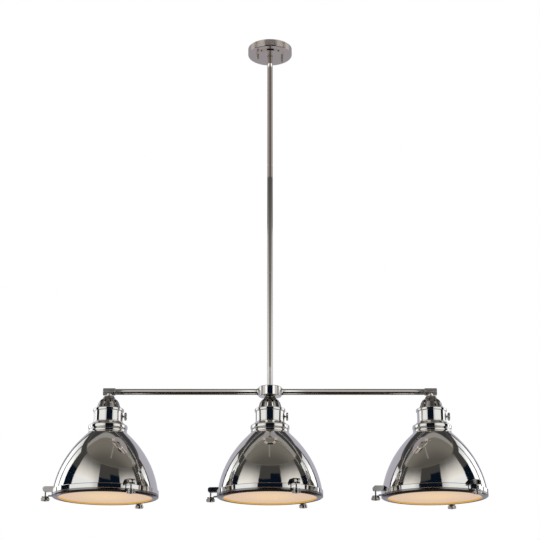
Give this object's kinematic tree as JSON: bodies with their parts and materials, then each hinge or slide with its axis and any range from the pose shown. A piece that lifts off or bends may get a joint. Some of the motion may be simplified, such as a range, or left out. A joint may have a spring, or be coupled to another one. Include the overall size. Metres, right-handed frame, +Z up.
{
  "type": "linear island pendant light",
  "caption": "Ceiling pendant with a long jointed stem, a cross arm and bell-shaped metal shades whose frosted lens frames are clamped by swing-bolt latches.",
  "frame": {"origin": "on the ceiling plane, at the centre of the canopy and of the crossbar's slot pattern", "axes": "+Z up out of the canopy into the ceiling; +X along the arms to the right-hand lamp; -Y towards the front"},
  "size_m": [1.1083, 0.2925, 1.2478],
  "materials": {
    "polished_nickel": "polished",
    "zinc_steel": "satin",
    "nylon": "matte",
    "porcelain": "glazed",
    "bulb_glass": "frosted",
    "frosted_glass": "frosted"
  },
  "bodies": {
    "ceiling": {"crossbar": "zinc_steel", "canopy_studs": "zinc_steel", "canopy": "polished_nickel", "cap_nuts": "polished_nickel", "swivel_socket": "zinc_steel"},
    "liner": {"swivel_liner": "nylon"},
    "pendant": {"swivel_ball": "polished_nickel", "stem_collar": "polished_nickel", "stem_1": "polished_nickel", "stem_2": "polished_nickel", "stem_3": "polished_nickel", "stem_4": "polished_nickel", "threaded_nipples": "zinc_steel", "hub": "polished_nickel", "arm_left": "polished_nickel", "arm_right": "polished_nickel", "end_fitting_left": "polished_nickel", "end_fitting_right": "polished_nickel", "fitter_sleeves": "zinc_steel", "lampholders": "porcelain", "bulbs": "bulb_glass", "latch_brackets": "polished_nickel", "latch_pins": "zinc_steel", "vent_cap_left": "polished_nickel", "socket_cup_left": "polished_nickel", "shade_left": "polished_nickel", "vent_cap_centre": "polished_nickel", "socket_cup_centre": "polished_nickel", "shade_centre": "polished_nickel", "vent_cap_right": "polished_nickel", "socket_cup_right": "polished_nickel", "shade_right": "polished_nickel"},
    "left_lens_frame": {"lens_frame_left": "polished_nickel", "lens_left": "frosted_glass"},
    "left_thumb_screw": {"thumb_screw_left": "polished_nickel"},
    "left_bolt_1": {"swing_bolt_left_1": "zinc_steel"},
    "left_nut_1": {"thumb_nut_left_1": "polished_nickel"},
    "left_bolt_2": {"swing_bolt_left_2": "zinc_steel"},
    "left_nut_2": {"thumb_nut_left_2": "polished_nickel"},
    "left_bolt_3": {"swing_bolt_left_3": "zinc_steel"},
    "left_nut_3": {"thumb_nut_left_3": "polished_nickel"},
    "centre_lens_frame": {"lens_frame_centre": "polished_nickel", "lens_centre": "frosted_glass"},
    "centre_thumb_screw": {"thumb_screw_centre": "polished_nickel"},
    "centre_bolt_1": {"swing_bolt_centre_1": "zinc_steel"},
    "centre_nut_1": {"thumb_nut_centre_1": "polished_nickel"},
    "centre_bolt_2": {"swing_bolt_centre_2": "zinc_steel"},
    "centre_nut_2": {"thumb_nut_centre_2": "polished_nickel"},
    "centre_bolt_3": {"swing_bolt_centre_3": "zinc_steel"},
    "centre_nut_3": {"thumb_nut_centre_3": "polished_nickel"},
    "right_lens_frame": {"lens_frame_right": "polished_nickel", "lens_right": "frosted_glass"},
    "right_thumb_screw": {"thumb_screw_right": "polished_nickel"},
    "right_bolt_1": {"swing_bolt_right_1": "zinc_steel"},
    "right_nut_1": {"thumb_nut_right_1": "polished_nickel"},
    "right_bolt_2": {"swing_bolt_right_2": "zinc_steel"},
    "right_nut_2": {"thumb_nut_right_2": "polished_nickel"},
    "right_bolt_3": {"swing_bolt_right_3": "zinc_steel"},
    "right_nut_3": {"thumb_nut_right_3": "polished_nickel"}
  },
  "joints": [
    {"name": "swivel_tilt_sideways", "type": "hinge", "parent": "ceiling", "child": "liner", "pos_m": [0, 0, -0.0173], "axis": [0, 1, 0], "range_deg": [-8, 8]},
    {"name": "swivel_tilt_forwards", "type": "hinge", "parent": "liner", "child": "pendant", "pos_m": [0, 0, -0.0173], "axis": [1, 0, 0], "range_deg": [-8, 8]},
    {"name": "left_lens_frame_drop", "type": "slide", "parent": "pendant", "child": "left_lens_frame", "axis": [0, 0, 1], "range_m": [-0.004, 0]},
    {"name": "left_thumb_screw_turn", "type": "hinge", "parent": "pendant", "child": "left_thumb_screw", "pos_m": [-0.3721, 0, -1.0341], "axis": [1, 0, 0], "continuous": true},
    {"name": "left_bolt_swing_1", "type": "hinge", "parent": "pendant", "child": "left_bolt_1", "pos_m": [-0.33202, -0.12729, -1.2178], "axis": [-0.8572, -0.515, 0], "range_deg": [0, 85]},
    {"name": "left_nut_run_1", "type": "slide", "parent": "left_bolt_1", "child": "left_nut_1", "axis": [0, 0, 1], "range_m": [-0.004, 0]},
    {"name": "left_bolt_swing_2", "type": "hinge", "parent": "pendant", "child": "left_bolt_2", "pos_m": [-0.33651, 0.12988, -1.2178], "axis": [0.8746, -0.4848, 0], "range_deg": [0, 85]},
    {"name": "left_nut_run_2", "type": "slide", "parent": "left_bolt_2", "child": "left_nut_2", "axis": [0, 0, 1], "range_m": [-0.004, 0]},
    {"name": "left_bolt_swing_3", "type": "hinge", "parent": "pendant", "child": "left_bolt_3", "pos_m": [-0.55698, -0.00259, -1.2178], "axis": [-0.0175, 0.9998, 0], "range_deg": [0, 85]},
    {"name": "left_nut_run_3", "type": "slide", "parent": "left_bolt_3", "child": "left_nut_3", "axis": [0, 0, 1], "range_m": [-0.004, 0]},
    {"name": "centre_lens_frame_drop", "type": "slide", "parent": "pendant", "child": "centre_lens_frame", "axis": [0, 0, 1], "range_m": [-0.004, 0]},
    {"name": "centre_thumb_screw_turn", "type": "hinge", "parent": "pendant", "child": "centre_thumb_screw", "pos_m": [0.0364, 0, -1.0341], "axis": [1, 0, 0], "continuous": true},
    {"name": "centre_bolt_swing_1", "type": "hinge", "parent": "pendant", "child": "centre_bolt_1", "pos_m": [0.06276, -0.13459, -1.2178], "axis": [-0.9063, -0.4226, 0], "range_deg": [0, 85]},
    {"name": "centre_nut_run_1", "type": "slide", "parent": "centre_bolt_1", "child": "centre_nut_1", "axis": [0, 0, 1], "range_m": [-0.004, 0]},
    {"name": "centre_bolt_swing_2", "type": "hinge", "parent": "pendant", "child": "centre_bolt_2", "pos_m": [0.08518, 0.12164, -1.2178], "axis": [0.8192, -0.5736, 0], "range_deg": [0, 85]},
    {"name": "centre_nut_run_2", "type": "slide", "parent": "centre_bolt_2", "child": "centre_nut_2", "axis": [0, 0, 1], "range_m": [-0.004, 0]},
    {"name": "centre_bolt_swing_3", "type": "hinge", "parent": "pendant", "child": "centre_bolt_3", "pos_m": [-0.14794, 0.01294, -1.2178], "axis": [0.0872, 0.9962, 0], "range_deg": [0, 85]},
    {"name": "centre_nut_run_3", "type": "slide", "parent": "centre_bolt_3", "child": "centre_nut_3", "axis": [0, 0, 1], "range_m": [-0.004, 0]},
    {"name": "right_lens_frame_drop", "type": "slide", "parent": "pendant", "child": "right_lens_frame", "axis": [0, 0, 1], "range_m": [-0.004, 0]},
    {"name": "right_thumb_screw_turn", "type": "hinge", "parent": "pendant", "child": "right_thumb_screw", "pos_m": [0.4449, 0, -1.0341], "axis": [1, 0, 0], "continuous": true},
    {"name": "right_bolt_swing_1", "type": "hinge", "parent": "pendant", "child": "right_bolt_1", "pos_m": [0.49579, -0.12014, -1.2178], "axis": [-0.809, -0.5878, 0], "range_deg": [0, 85]},
    {"name": "right_nut_run_1", "type": "slide", "parent": "right_bolt_1", "child": "right_nut_1", "axis": [0, 0, 1], "range_m": [-0.004, 0]},
    {"name": "right_bolt_swing_2", "type": "hinge", "parent": "pendant", "child": "right_bolt_2", "pos_m": [0.4689, 0.13566, -1.2178], "axis": [0.9135, -0.4067, 0], "range_deg": [0, 85]},
    {"name": "right_nut_run_2", "type": "slide", "parent": "right_bolt_2", "child": "right_nut_2", "axis": [0, 0, 1], "range_m": [-0.004, 0]},
    {"name": "right_bolt_swing_3", "type": "hinge", "parent": "pendant", "child": "right_bolt_3", "pos_m": [0.26081, -0.01552, -1.2178], "axis": [-0.1045, 0.9945, 0], "range_deg": [0, 85]},
    {"name": "right_nut_run_3", "type": "slide", "parent": "right_bolt_3", "child": "right_nut_3", "axis": [0, 0, 1], "range_m": [-0.004, 0]}
  ],
  "couplings": [
    {"joint": "left_nut_run_1", "follows": "left_lens_frame_drop", "ratio": 1},
    {"joint": "left_nut_run_2", "follows": "left_lens_frame_drop", "ratio": 1},
    {"joint": "left_nut_run_3", "follows": "left_lens_frame_drop", "ratio": 1},
    {"joint": "centre_nut_run_1", "follows": "centre_lens_frame_drop", "ratio": 1},
    {"joint": "centre_nut_run_2", "follows": "centre_lens_frame_drop", "ratio": 1},
    {"joint": "centre_nut_run_3", "follows": "centre_lens_frame_drop", "ratio": 1},
    {"joint": "right_nut_run_1", "follows": "right_lens_frame_drop", "ratio": 1},
    {"joint": "right_nut_run_2", "follows": "right_lens_frame_drop", "ratio": 1},
    {"joint": "right_nut_run_3", "follows": "right_lens_frame_drop", "ratio": 1}
  ]
}
